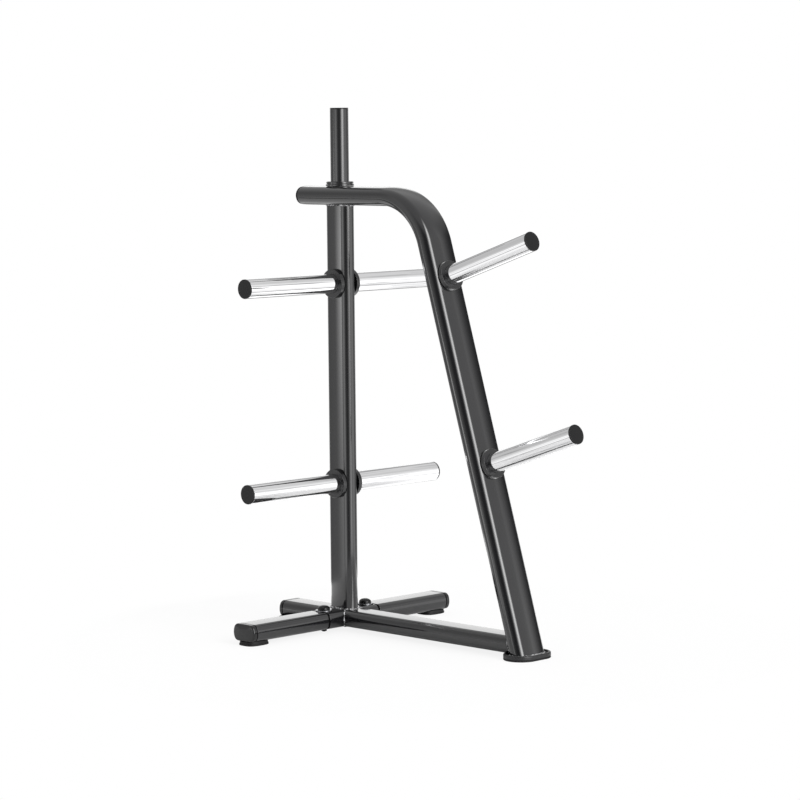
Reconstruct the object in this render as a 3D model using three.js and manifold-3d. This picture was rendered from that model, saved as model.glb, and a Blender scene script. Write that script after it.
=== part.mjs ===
// Plate tree: a free-standing rack that stores weight plates on six pegs.
// An upright post and a bent oval tube that leans back down to the floor stand on an oval base beam
// with a bolted foot on each side. Each peg is a chromed sleeve on a steel core.
// Millimetres. X runs along the frame from the post to the leaning leg, Y across it, Z up.
// The origin is on the floor, under the middle of the whole rack.
import * as THREE from "three";
import { mergeVertices } from "three/addons/utils/BufferGeometryUtils.js";
import Module from "manifold-3d";

const wasm = await Module();
wasm.setup();

// Clearances, and how finely round shapes are divided
const seatGap = 0.3; // left between two pieces that rest on each other
const cutOverrun = 10; // how far a cutter runs past the piece that it cuts
const mergeDistance = 1e-4;
const roundSides = 28;
const boltSides = 16;
const hexSides = 6;
const ovalEndSteps = 8;
const bendSteps = 10;
const edgeSteps = 2;

// Oval tube sections: the width is the long side, the depth the short one
const archWidth = 104;
const archDepth = 50;
const archWall = 3;
const baseWidth = 80;
const baseDepth = 45;
const baseWall = 3;
const postWidth = baseWidth; // the post is the same tube as the base
const postDepth = baseDepth;
const postWall = baseWall;

// The arch: a level top tube, one bend, and the leg that leans out to the floor
const archCentreHeight = 1148;
const archTail = 116; // post axis to the outer face of the end cap
const bendRadius = 165;
const legLean = THREE.MathUtils.degToRad(17); // from upright
const legFootX = 661; // where the leg's centre line would meet the floor

// The base: a beam along X, and a foot on each side of it
const padHeight = 11; // the base beam and the feet are this far above the floor
const beamTail = 216; // post axis to the outer face of the beam's end cap
const footReach = 363; // beam axis to the outer face of a foot's end cap
const stubReach = 89; // beam axis to the open end of a socket stub
const jointRingThickness = 6;
const spigotWall = 2.5;
const spigotLength = 110;
const spigotInStub = 36; // the part of the spigot inside the stub

// Oval end caps and foot pads
const capBand = 16; // the visible length of a base end cap
const capEdge = 5; // rounding of its outer edge
const capPlug = 22; // how far it goes into its tube
const archCapBand = 6;
const archCapEdge = 2.5;
const padLength = 62;
const padWidth = 60;
const padCorner = 12;
const padSaddle = 4; // how far a pad rises round the tube above it
const padInset = 1; // from the end cap's outer face

// Foot plates, under the leg and under the beam's free end
const footPlateWidth = 134;
const footPlateDepth = 90;
const matThickness = 4.4;
const beamPlateInset = 45; // from the beam's end cap to the plate's middle

// Foot bolts
const boltRadius = 4;
const boltOffset = 76; // beam axis to a bolt's axis
const boltHoleClearance = 0.5;
const boltHeadAcross = 13;
const boltHeadHeight = 5.3;
const boltTip = 1.5; // from the bolt's end to the floor
const topWasherRadius = 22;
const topWasherThickness = 2.5;
const coverRadius = 16.5;
const coverHeight = 12;
const coverWall = 2.6;
const coverSideShare = 1 / 3; // the upright part of its height
const lowWasherRadius = 9;
const lowWasherThickness = 1.6;
const nutHeight = 6;

// Pegs
const pegRadius = 25;
const sleeveWall = 2.5;
const coreWall = 3;
const collarRadius = 38;
const collarThickness = 11;
const collarChamfer = 1.5;
const pegCapThickness = 4;
const pegCapEdge = 1.2;
const pegPlug = 18;
const postPegReach = 319.5; // tube face to the outer face of the peg's end cap
const legPegReach = 301;
const legPegTilt = THREE.MathUtils.degToRad(18.4); // above level
const upperPegDrop = 230; // from the top tube's centre line down to the post's upper pegs
const postPegSpacing = 528;
const upperLegPegDrop = 216.5; // along the leg, from where its centre line meets the top tube's
const legPegSpacing = 490;

// Spindle: the short post on top of the arch
const spindleRadius = 24;
const spindleWall = 3;
const spindleHeight = 204; // above the top tube
const spindleCapThickness = 3;
const spindleFlangeRadius = 37;
const spindleFlangeThickness = 6;
const spindleRingRadius = 35.5;
const spindleRingThickness = 5.4;
const spindleGroove = 1.5;

// Levels and places that follow from the sizes above
const baseCentreHeight = padHeight + baseDepth / 2;
const baseTop = padHeight + baseDepth;
const archUnderside = archCentreHeight - archDepth / 2;
const archTop = archCentreHeight + archDepth / 2;
const spindleTop = archTop + spindleHeight;
const upperPegHeight = archCentreHeight - upperPegDrop;
const lowerPegHeight = upperPegHeight - postPegSpacing;
const upperLegPegDistance = archCentreHeight / Math.cos(legLean) - upperLegPegDrop;
const lowerLegPegDistance = upperLegPegDistance - legPegSpacing;
const legUp = new THREE.Vector3(-Math.sin(legLean), 0, Math.cos(legLean));
const legOut = new THREE.Vector3(Math.cos(legLean), 0, Math.sin(legLean));
const legFoot = new THREE.Vector3(legFootX, 0, 0);
const bendAngle = Math.PI / 2 - legLean;
const bendStartX = legFootX - archCentreHeight * Math.tan(legLean) - bendRadius * Math.tan(bendAngle / 2);
const footPlateX = legFootX - padHeight * Math.tan(legLean);
const legPegTurn = Math.PI / 2 - legPegTilt;
const legPegSkew = legPegTilt - legLean; // between a leg peg and the leg's normal
const legPegOut = new THREE.Vector3(Math.cos(legPegTilt), 0, Math.sin(legPegTilt));
const coreRadius = pegRadius - sleeveWall - seatGap;
const jointRingEnd = stubReach + seatGap + jointRingThickness;

// Finishes
const finishes = {
  paint: { color: 0x38383a, roughness: 0.32, metalness: 0.35 },
  chrome: { color: 0xd8dadc, roughness: 0.08, metalness: 1 },
  plastic: { color: 0x1c1c1d, roughness: 0.45, metalness: 0 },
  rubber: { color: 0x151516, roughness: 0.8, metalness: 0 },
  zinc: { color: 0xc6c8ca, roughness: 0.3, metalness: 1 },
};

// Closed solids: a geometry goes in and comes out, and the cutting happens between
function solidOf(geometry) {
  const plain = geometry.clone();
  plain.deleteAttribute("normal");
  plain.deleteAttribute("uv");
  const merged = mergeVertices(plain, mergeDistance);
  const corners = [];
  for (let i = 0; i < merged.index.count; i += 3) {
    const [a, b, c] = [0, 1, 2].map((k) => merged.index.getX(i + k));
    if (a !== b && b !== c && c !== a) corners.push(a, b, c);
  }
  const vertProperties = new Float32Array(merged.attributes.position.array);
  const triVerts = new Uint32Array(corners);
  return new wasm.Manifold(new wasm.Mesh({ numProp: 3, vertProperties, triVerts }));
}

function geometryOf(solid) {
  const mesh = solid.getMesh();
  const geometry = new THREE.BufferGeometry();
  geometry.setAttribute("position", new THREE.BufferAttribute(new Float32Array(mesh.vertProperties), 3));
  geometry.setIndex(new THREE.BufferAttribute(new Uint32Array(mesh.triVerts), 1));
  return geometry;
}

function cut(geometry, cutters) {
  return geometryOf(cutters.reduce((solid, cutter) => solid.subtract(solidOf(cutter)), solidOf(geometry)));
}

function join(first, second) {
  return geometryOf(solidOf(first).add(solidOf(second)));
}

// Outlines
function ovalPoints(width, depth) {
  const radius = depth / 2;
  const reach = (width - depth) / 2;
  const points = [];
  for (const side of [1, -1]) {
    for (let i = 0; i <= ovalEndSteps; i++) {
      const angle = Math.PI * (i / ovalEndSteps - 1 / 2);
      points.push(new THREE.Vector2(side * (reach + radius * Math.cos(angle)), side * radius * Math.sin(angle)));
    }
  }
  return points;
}

function ovalOutline(width, depth, wall) {
  const outline = new THREE.Shape(ovalPoints(width, depth));
  if (wall > 0) outline.holes.push(new THREE.Path(ovalPoints(width - 2 * wall, depth - 2 * wall)));
  return outline;
}

function extrude(outline, length) {
  return new THREE.ExtrudeGeometry(outline, { depth: length, bevelEnabled: false, steps: 1 });
}

// Directions: an extrusion runs along its own Z, with its width along its own X
function alongX(geometry, startX, height) {
  const turn = new THREE.Matrix4().makeBasis(
    new THREE.Vector3(0, 1, 0),
    new THREE.Vector3(0, 0, 1),
    new THREE.Vector3(1, 0, 0),
  );
  return geometry.applyMatrix4(turn).translate(startX, 0, height);
}

function alongY(geometry, startY, height) {
  return geometry.rotateX(-Math.PI / 2).translate(0, startY, height);
}

// Round pieces: a profile of [radius, height] pairs turned about Z
function turned(profile, sides) {
  const points = profile.map(([radius, height]) => new THREE.Vector2(radius, height));
  return new THREE.LatheGeometry(points, sides).rotateX(Math.PI / 2);
}

function ring(outerRadius, innerRadius, height, sides) {
  return turned(
    [
      [innerRadius, 0],
      [outerRadius, 0],
      [outerRadius, height],
      [innerRadius, height],
      [innerRadius, 0],
    ],
    sides,
  );
}

function rod(radius, height, sides) {
  return new THREE.CylinderGeometry(radius, radius, height, sides).rotateX(Math.PI / 2).translate(0, 0, height / 2);
}

function hexagon(acrossFlats, height) {
  return rod(acrossFlats / 2 / Math.cos(Math.PI / hexSides), height, hexSides);
}

function add(group, name, finish, geometry) {
  const mesh = new THREE.Mesh(geometry, new THREE.MeshStandardMaterial(finishes[finish]));
  mesh.name = name;
  group.add(mesh);
  return mesh;
}

// Stations of the arch's centre line: the tail, the bend, and the foot of the leg
class ArchPath extends THREE.Curve {
  stationAt(share) {
    const station = Math.round(share * (bendSteps + 2));
    const turn = bendAngle * Math.min(Math.max((station - 1) / bendSteps, 0), 1);
    const point = new THREE.Vector3(
      bendStartX + bendRadius * Math.sin(turn),
      0,
      archCentreHeight - bendRadius * (1 - Math.cos(turn)),
    );
    if (station === 0) point.x = archCapBand + seatGap - archTail;
    if (station === bendSteps + 2) point.copy(legFoot);
    return { point, tangent: new THREE.Vector3(Math.cos(turn), 0, -Math.sin(turn)) };
  }

  getPointAt(share) {
    return this.stationAt(share).point;
  }

  getTangentAt(share) {
    return this.stationAt(share).tangent;
  }
}

function archSolid(width, depth, wall) {
  const outline = ovalOutline(width, depth, wall);
  const upright = (points) => points.map((point) => new THREE.Vector2(-point.y, point.x));
  const section = new THREE.Shape(upright(outline.getPoints()));
  section.holes = outline.holes.map((hole) => new THREE.Path(upright(hole.getPoints())));
  return new THREE.ExtrudeGeometry(section, { steps: bendSteps + 2, bevelEnabled: false, extrudePath: new ArchPath() });
}

function legPoint(distance, outwards) {
  return legFoot.clone().addScaledVector(legUp, distance).addScaledVector(legOut, outwards);
}

// A block that fills everything below a level, to cut the leg off parallel to the floor
function blockBelow(level) {
  const size = archWidth + archDepth;
  return new THREE.BoxGeometry(2 * size, 2 * size, size).translate(legFootX, 0, level - size / 2);
}

function buildArch() {
  const outside = archDepth / 2 + cutOverrun;
  const pegHoles = [upperLegPegDistance, lowerLegPegDistance].map((distance) => {
    const hole = rod(coreRadius + seatGap, outside, roundSides).rotateY(legPegTurn);
    return hole.translate(...legPoint(distance, 0).toArray());
  });
  return cut(archSolid(archWidth, archDepth, archWall), [blockBelow(padHeight), ...pegHoles]);
}

function beamSolid(growth, wall, startX, endX) {
  return alongX(extrude(ovalOutline(baseWidth + growth, baseDepth + growth, wall), endX - startX), startX, baseCentreHeight);
}

function buildBeam() {
  const startX = capBand + seatGap - beamTail;
  const legSpace = archSolid(archWidth + 2 * seatGap, archDepth + 2 * seatGap, 0);
  const beyondLeg = new THREE.BoxGeometry(archWidth, 2 * archWidth, 2 * archWidth).rotateY(-legLean);
  beyondLeg.translate(...legPoint(baseCentreHeight, archWidth / 2).toArray());
  return cut(beamSolid(0, baseWall, startX, legFootX), [legSpace, beyondLeg]);
}

function buildPost() {
  const bottom = baseTop - postDepth / 2;
  const tube = extrude(ovalOutline(postWidth, postDepth, postWall), archUnderside - seatGap - bottom);
  const beam = beamSolid(2 * seatGap, 0, -postWidth, postWidth);
  const stubs = extrude(ovalOutline(baseWidth + 2 * seatGap, baseDepth + 2 * seatGap, 0), 2 * baseWidth);
  const below = new THREE.BoxGeometry(2 * postWidth, 2 * postWidth, baseDepth);
  below.translate(0, 0, baseCentreHeight - baseDepth / 2);
  const pegHoles = [upperPegHeight, lowerPegHeight].map((height) =>
    alongY(rod(coreRadius + seatGap, postDepth + 2 * cutOverrun, roundSides), -postDepth / 2 - cutOverrun, height),
  );
  return cut(tube.translate(0, 0, bottom), [beam, alongY(stubs, -baseWidth, baseCentreHeight), below, ...pegHoles]);
}

// An end cap: a band flush with its tube, rounded at the outer edge, and a plug inside the tube.
// It starts at the outer face and runs along Z into the tube.
function buildOvalCap(width, depth, wall, band, edge) {
  const rounded = new THREE.ExtrudeGeometry(ovalOutline(width, depth, 0), {
    depth: band - 2 * edge,
    steps: 1,
    bevelThickness: edge,
    bevelSize: edge,
    bevelOffset: -edge,
    bevelSegments: edgeSteps,
  }).translate(0, 0, edge);
  const square = extrude(ovalOutline(width, depth, 0), band / 2).translate(0, 0, band / 2);
  const inset = 2 * (wall + seatGap);
  const plug = extrude(ovalOutline(width - inset, depth - inset, 0), band / 2 + capPlug).translate(0, 0, band / 2);
  return join(join(rounded, square), plug);
}

// A rubber pad under the end of a base tube. The tube runs along Y and lies in the pad's saddle.
function buildPad() {
  const halfWidth = padWidth / 2;
  const halfLength = padLength / 2;
  const outline = new THREE.Shape();
  outline.moveTo(halfWidth, padCorner - halfLength);
  outline.absarc(halfWidth - padCorner, halfLength - padCorner, padCorner, 0, Math.PI / 2);
  outline.absarc(padCorner - halfWidth, halfLength - padCorner, padCorner, Math.PI / 2, Math.PI);
  outline.absarc(padCorner - halfWidth, padCorner - halfLength, padCorner, Math.PI, Math.PI * 3 / 2);
  outline.absarc(halfWidth - padCorner, padCorner - halfLength, padCorner, Math.PI * 3 / 2, Math.PI * 2);
  const options = { depth: padHeight + padSaddle, bevelEnabled: false, curveSegments: edgeSteps * 2 };
  const block = new THREE.ExtrudeGeometry(outline, options);
  const tubeSpace = extrude(ovalOutline(baseWidth + 2 * seatGap, baseDepth + 2 * seatGap, 0), padLength + 2 * cutOverrun);
  return cut(block, [alongY(tubeSpace, -halfLength - cutOverrun, baseCentreHeight)]);
}

// An oval plate with a mat under it, its long side across the frame
function addFootPlate(group, name, middleX) {
  const outline = ovalOutline(footPlateWidth, footPlateDepth, 0);
  const plateBottom = matThickness + seatGap;
  const plate = extrude(outline, padHeight - seatGap - plateBottom).rotateZ(Math.PI / 2);
  const mat = extrude(outline, matThickness).rotateZ(Math.PI / 2);
  add(group, `${name}_plate`, "paint", plate.translate(middleX, 0, plateBottom));
  add(group, `${name}_mat`, "rubber", mat.translate(middleX, 0, 0));
}

// One foot, built along +Y from the beam's axis, with the bolt that holds it
function addFoot(parent, side, turn) {
  const foot = new THREE.Group();
  foot.rotation.z = turn;
  parent.add(foot);

  const boltHole = rod(boltRadius + boltHoleClearance, baseTop + cutOverrun, boltSides).translate(0, boltOffset, 0);
  const beamSpace = beamSolid(2 * seatGap, 0, -baseWidth, baseWidth);
  const nearSide = new THREE.BoxGeometry(2 * baseWidth, baseWidth, 2 * baseDepth);
  nearSide.translate(0, (baseWidth - baseDepth) / 2 - baseWidth / 2, baseCentreHeight);
  const stub = alongY(extrude(ovalOutline(baseWidth, baseDepth, baseWall), stubReach), 0, baseCentreHeight);
  add(foot, `${side}_socket_stub`, "paint", cut(stub, [beamSpace, nearSide, boltHole]));

  const spigotWidth = baseWidth - 2 * (baseWall + seatGap);
  const spigotDepth = baseDepth - 2 * (baseWall + seatGap);
  const spigot = extrude(ovalOutline(spigotWidth, spigotDepth, spigotWall), spigotLength);
  const spigotStart = stubReach - spigotInStub;
  add(foot, `${side}_spigot`, "paint", cut(alongY(spigot, spigotStart, baseCentreHeight), [boltHole]));

  const jointRing = extrude(ovalOutline(baseWidth, baseDepth, baseWall), jointRingThickness);
  add(foot, `${side}_joint_ring`, "rubber", alongY(jointRing, stubReach + seatGap, baseCentreHeight));

  const tubeStart = jointRingEnd + seatGap;
  const tubeLength = footReach - capBand - seatGap - tubeStart;
  const tube = extrude(ovalOutline(baseWidth, baseDepth, baseWall), tubeLength);
  add(foot, `${side}_foot_tube`, "paint", alongY(tube, tubeStart, baseCentreHeight));

  const cap = buildOvalCap(baseWidth, baseDepth, baseWall, capBand, capEdge).rotateX(Math.PI);
  add(foot, `${side}_foot_cap`, "plastic", alongY(cap, footReach, baseCentreHeight));
  const padY = footReach - padInset - padLength / 2;
  add(foot, `${side}_foot_pad`, "rubber", buildPad().translate(0, padY, 0));

  const washerBottom = baseTop + seatGap;
  const headBottom = washerBottom + topWasherThickness + seatGap;
  const place = (geometry, height) => geometry.translate(0, boltOffset, height);
  const holeRadius = boltRadius + boltHoleClearance;
  const shankOverlap = boltHeadHeight / 2;
  const shank = rod(boltRadius, headBottom + shankOverlap - boltTip, boltSides).translate(0, 0, boltTip);
  const bolt = join(shank, hexagon(boltHeadAcross, boltHeadHeight).translate(0, 0, headBottom));
  add(foot, `${side}_foot_bolt`, "zinc", place(bolt, 0));
  const topWasher = ring(topWasherRadius, holeRadius, topWasherThickness, roundSides);
  add(foot, `${side}_bolt_washer`, "zinc", place(topWasher, washerBottom));
  add(foot, `${side}_bolt_cover`, "plastic", place(buildBoltCover(), headBottom));
  const lowWasherBottom = padHeight - seatGap - lowWasherThickness;
  const lowWasher = ring(lowWasherRadius, holeRadius, lowWasherThickness, boltSides);
  add(foot, `${side}_low_washer`, "zinc", place(lowWasher, lowWasherBottom));
  const nutHole = rod(boltRadius + seatGap, nutHeight + 2 * cutOverrun, boltSides).translate(0, 0, -cutOverrun);
  const nut = cut(hexagon(boltHeadAcross, nutHeight), [nutHole]);
  add(foot, `${side}_bolt_nut`, "zinc", place(nut, lowWasherBottom - seatGap - nutHeight));
}

// A domed cover that is open underneath, over the bolt's head
function buildBoltCover() {
  const sideHeight = coverHeight * coverSideShare;
  const dome = (radius, rise, base) => {
    const points = [];
    for (let i = 0; i <= edgeSteps * 2; i++) {
      const angle = (Math.PI / 2) * (i / (edgeSteps * 2));
      points.push([radius * Math.cos(angle), base + rise * Math.sin(angle)]);
    }
    return points;
  };
  const outer = dome(coverRadius, coverHeight - sideHeight, sideHeight);
  const inner = dome(coverRadius - coverWall, coverHeight - sideHeight - coverWall, sideHeight).reverse();
  return turned([...inner, [coverRadius - coverWall, 0], [coverRadius, 0], ...outer], boltSides);
}

// One peg, built along +Z from the face of the tube that carries it.
// The skew is the angle between the peg and that face's normal.
function addPeg(parent, name, reach, place, turn, skew) {
  const peg = new THREE.Group();
  peg.position.copy(place);
  peg.rotation.set(turn.x, turn.y, turn.z);
  parent.add(peg);

  const collarBore = pegRadius + seatGap;
  const collarBottom = seatGap - collarRadius * Math.tan(skew);
  const collarTop = seatGap + collarThickness;
  const collar = turned(
    [
      [collarBore, collarBottom],
      [collarRadius, collarBottom],
      [collarRadius, collarTop - collarChamfer],
      [collarRadius - collarChamfer, collarTop],
      [collarBore, collarTop],
      [collarBore, collarBottom],
    ],
    roundSides,
  );
  const belowFace = new THREE.BoxGeometry(collarRadius * 4, collarRadius * 4, collarRadius);
  belowFace.translate(0, 0, seatGap - collarRadius / 2).rotateY(skew);
  add(peg, `${name}_collar`, "paint", skew > 0 ? cut(collar, [belowFace]) : collar);

  const sleeveStart = seatGap + pegRadius * Math.tan(skew);
  const capStart = reach - pegCapThickness;
  const sleeve = ring(pegRadius, coreRadius + seatGap, capStart - seatGap - sleeveStart, roundSides);
  add(peg, `${name}_sleeve`, "chrome", sleeve.translate(0, 0, sleeveStart));

  const plugRadius = coreRadius - coreWall - seatGap;
  const endCap = turned(
    [
      [0, capStart - pegPlug],
      [plugRadius, capStart - pegPlug],
      [plugRadius, capStart],
      [pegRadius, capStart],
      [pegRadius, reach - pegCapEdge],
      [pegRadius - pegCapEdge, reach],
      [0, reach],
    ],
    roundSides,
  );
  add(peg, `${name}_end_cap`, "plastic", endCap);
  return peg;
}

function addPostPegs(group) {
  const coreHalf = postDepth / 2 + postPegReach - pegCapThickness - seatGap;
  for (const [level, height] of [["upper", upperPegHeight], ["lower", lowerPegHeight]]) {
    const crossTube = ring(coreRadius, coreRadius - coreWall, 2 * coreHalf, roundSides);
    add(group, `${level}_cross_tube`, "paint", alongY(crossTube, -coreHalf, height));
    for (const [side, sign] of [["front", -1], ["rear", 1]]) {
      const place = new THREE.Vector3(0, sign * postDepth / 2, height);
      const turn = new THREE.Vector3(-sign * Math.PI / 2, 0, 0);
      addPeg(group, `${side}_${level}_peg`, postPegReach, place, turn, 0);
    }
  }
}

function addLegPegs(group) {
  const turn = new THREE.Vector3(0, legPegTurn, 0);
  const faceDistance = archDepth / 2 / Math.cos(legPegSkew);
  const backDistance = (archDepth - archWall) / Math.cos(legPegSkew);
  for (const [level, distance] of [["upper", upperLegPegDistance], ["lower", lowerLegPegDistance]]) {
    const place = legPoint(distance, 0).addScaledVector(legPegOut, faceDistance);
    const peg = addPeg(group, `leg_${level}_peg`, legPegReach, place, turn, legPegSkew);
    const coreStart = seatGap + coreRadius * Math.tan(legPegSkew) - backDistance;
    const coreEnd = legPegReach - pegCapThickness - seatGap;
    const core = ring(coreRadius, coreRadius - coreWall, coreEnd - coreStart, roundSides);
    add(peg, `leg_${level}_peg_core`, "paint", core.translate(0, 0, coreStart));
  }
}

function addSpindle(group) {
  const flangeBottom = archTop + seatGap;
  const ringBottom = flangeBottom + spindleFlangeThickness;
  const ringTop = ringBottom + spindleRingThickness;
  const grooveRadius = spindleRingRadius - spindleGroove;
  const boreRadius = spindleRadius + seatGap;
  const collar = turned(
    [
      [boreRadius, flangeBottom],
      [spindleFlangeRadius, flangeBottom],
      [spindleFlangeRadius, ringBottom - spindleGroove],
      [grooveRadius, ringBottom - spindleGroove],
      [grooveRadius, ringBottom],
      [spindleRingRadius, ringBottom],
      [spindleRingRadius, ringTop],
      [boreRadius, ringTop],
      [boreRadius, flangeBottom],
    ],
    roundSides,
  );
  add(group, "spindle_collar", "paint", collar);
  const capBottom = spindleTop - spindleCapThickness;
  const tubeHeight = capBottom - seatGap - flangeBottom;
  const tube = ring(spindleRadius, spindleRadius - spindleWall, tubeHeight, roundSides);
  add(group, "spindle_tube", "paint", tube.translate(0, 0, flangeBottom));
  const plugRadius = spindleRadius - spindleWall - seatGap;
  const cap = turned(
    [
      [0, capBottom - pegPlug],
      [plugRadius, capBottom - pegPlug],
      [plugRadius, capBottom],
      [spindleRadius, capBottom],
      [spindleRadius, spindleTop],
      [0, spindleTop],
    ],
    roundSides,
  );
  add(group, "spindle_cap", "plastic", cap);
}

const frame = new THREE.Group();
add(frame, "post_tube", "paint", buildPost());
add(frame, "arch_tube", "paint", buildArch());
add(frame, "base_beam", "paint", buildBeam());
const archCap = buildOvalCap(archWidth, archDepth, archWall, archCapBand, archCapEdge);
add(frame, "arch_end_cap", "plastic", alongX(archCap, -archTail, archCentreHeight));
const beamCap = buildOvalCap(baseWidth, baseDepth, baseWall, capBand, capEdge);
add(frame, "beam_end_cap", "plastic", alongX(beamCap, -beamTail, baseCentreHeight));
addFootPlate(frame, "leg_foot", footPlateX);
addFootPlate(frame, "beam_foot", beamPlateInset - beamTail);
addFoot(frame, "rear", 0);
addFoot(frame, "front", Math.PI);
addPostPegs(frame);
addLegPegs(frame);
addSpindle(frame);

// The middle of the whole rack goes to the origin
const plateTree = new THREE.Group();
plateTree.add(frame);
const wholeBox = new THREE.Box3().setFromObject(frame, true);
frame.position.x = -(wholeBox.min.x + wholeBox.max.x) / 2;

export default plateTree;
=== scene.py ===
import math

import bmesh
import bpy
import numpy as np
from mathutils import Matrix, Vector


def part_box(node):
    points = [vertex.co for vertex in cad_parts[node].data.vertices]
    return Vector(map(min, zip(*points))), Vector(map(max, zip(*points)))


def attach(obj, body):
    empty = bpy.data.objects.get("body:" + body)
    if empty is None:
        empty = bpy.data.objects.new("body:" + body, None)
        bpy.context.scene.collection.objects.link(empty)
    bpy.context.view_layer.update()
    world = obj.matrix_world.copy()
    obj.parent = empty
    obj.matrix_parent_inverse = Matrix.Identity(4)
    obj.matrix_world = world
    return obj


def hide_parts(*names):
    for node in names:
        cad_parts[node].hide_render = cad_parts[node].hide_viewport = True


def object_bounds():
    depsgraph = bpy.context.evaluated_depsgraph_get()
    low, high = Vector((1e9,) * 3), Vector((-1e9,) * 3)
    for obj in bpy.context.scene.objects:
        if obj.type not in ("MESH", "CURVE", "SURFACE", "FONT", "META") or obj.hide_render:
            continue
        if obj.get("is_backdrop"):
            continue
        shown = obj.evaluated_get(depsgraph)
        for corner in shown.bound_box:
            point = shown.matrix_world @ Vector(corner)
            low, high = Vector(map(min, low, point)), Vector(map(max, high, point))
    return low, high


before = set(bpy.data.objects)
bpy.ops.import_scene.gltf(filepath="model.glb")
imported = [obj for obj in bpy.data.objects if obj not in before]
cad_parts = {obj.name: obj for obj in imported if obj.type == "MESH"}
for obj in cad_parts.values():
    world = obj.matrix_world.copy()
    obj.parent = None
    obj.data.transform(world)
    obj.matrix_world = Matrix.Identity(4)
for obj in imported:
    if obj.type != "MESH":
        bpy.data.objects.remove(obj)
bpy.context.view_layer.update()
print("frame loaded:", len(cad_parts), "nodes")

# Lengths are millimetres with the post's axis at x = 0. inRow turns them into the row's metres.
metre = 1000
postLow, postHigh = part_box("post_tube")
rowX = (postLow.x + postHigh.x) / 2 * metre
gap = 0.3  # between pieces that rest on each other

# Meshes
arcSteps = {"end": 6, "corner": 14, "plainEnd": 20, "side": 7}  # points on each arc of a quarter section
arcMiddle = 0.3  # how far in the middle point of a rounded edge lies, as a share of its radius


def sectionQuarter(tube, inset=0.0, finer=1):
    # A quarter of the section, from the middle of its end to the middle of its side. Its arcs meet
    # without a kink.
    halfWidth, halfDepth, crown = tube["width"] / 2, tube["depth"] / 2, tube["crown"]
    if "corner" in tube:
        corner, bulge = tube["corner"], tube["bulge"]
        sideCentre, endCentre = np.array((0, halfDepth - crown)), np.array((halfWidth - bulge, 0))
        apart = endCentre - sideCentre
        span = np.linalg.norm(apart)
        fromSide, fromEnd = crown - corner, bulge - corner
        along = (span**2 + fromSide**2 - fromEnd**2) / (2 * span)
        off = math.sqrt(fromSide**2 - along**2)
        square = np.array((apart[1], -apart[0])) / span
        cornerCentre = sideCentre + apart / span * along + square * off
        sideAngle = math.atan2(*(cornerCentre - sideCentre)[::-1])
        endAngle = math.atan2(*(cornerCentre - endCentre)[::-1])
        arcs = [
            (endCentre, bulge, 0, endAngle, arcSteps["end"]),
            (cornerCentre, corner, endAngle, sideAngle, arcSteps["corner"]),
        ]
    else:
        endRadius = (2 * crown * halfDepth - halfWidth**2 - halfDepth**2) / (2 * (crown - halfWidth))
        centre = halfWidth - endRadius
        sideCentre, sideAngle = np.array((0, halfDepth - crown)), math.acos(centre / (crown - endRadius))
        arcs = [(np.array((centre, 0)), endRadius, 0, sideAngle, arcSteps["plainEnd"])]
    arcs.append((sideCentre, crown, sideAngle, math.pi / 2, arcSteps["side"]))
    points = []
    for middle, radius, first, last, steps in arcs:
        for angle in np.linspace(first, last, steps * finer, endpoint=False):
            points.append(middle + (radius - inset) * np.array((math.cos(angle), math.sin(angle))))
    return np.array(points + [(0, halfDepth - inset)])


def ringSection(tube, inset=0.0):
    quarter = sectionQuarter(tube, inset)
    flipX, flipY = quarter * (-1, 1), quarter * (1, -1)
    return np.concatenate([quarter[:-1], flipX[:0:-1], -quarter[:-1], flipY[:0:-1]])


def sunkSection(tube, depth):
    # The same section, lower by a depth all round
    return {key: size - depth * (2 if key in ("width", "depth") else 1) for key, size in tube.items()}


def sectionHeight(tube, across):
    # Half the tube's depth at a distance from the middle of its long side
    quarter = sectionQuarter(tube, finer=20)[::-1]
    return np.interp(np.abs(across), quarter[:, 0], quarter[:, 1])


def sectionReach(tube, up):
    # Half the tube's width at a height over its middle
    quarter = sectionQuarter(tube, finer=20)
    return np.interp(np.abs(up), quarter[:, 1], quarter[:, 0])


def rounded(corners, closed=False, steps=6, margin=1.5):
    # A path through [along, up, fillet] corners, with an arc of that radius in place of each corner.
    # A point on each side, at margin times the arc's reach, keeps what is flat beside it looking flat.
    path = []
    count = len(corners)
    for i, (x, y, radius) in enumerate(corners):
        here = np.array((x, y), float)
        if radius == 0 or (not closed and i in (0, count - 1)):
            path.append(here)
            continue
        toLast = np.array(corners[i - 1][:2], float) - here
        toNext = np.array(corners[(i + 1) % count][:2], float) - here
        toLast /= np.linalg.norm(toLast)
        toNext /= np.linalg.norm(toNext)
        half = math.acos(float(np.clip(toLast @ toNext, -1, 1))) / 2
        reach = radius / math.tan(half)
        middle = (toLast + toNext) / np.linalg.norm(toLast + toNext)
        centre = here + middle * radius / math.sin(half)
        first, last = here + toLast * reach - centre, here + toNext * reach - centre
        turn = math.pi - 2 * half
        path.append(here + toLast * reach * margin)
        for k in range(steps + 1):
            share = k / steps
            spoke = first * math.sin((1 - share) * turn) + last * math.sin(share * turn)
            path.append(centre + spoke / math.sin(turn))
        path.append(here + toNext * reach * margin)
    return path


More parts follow.
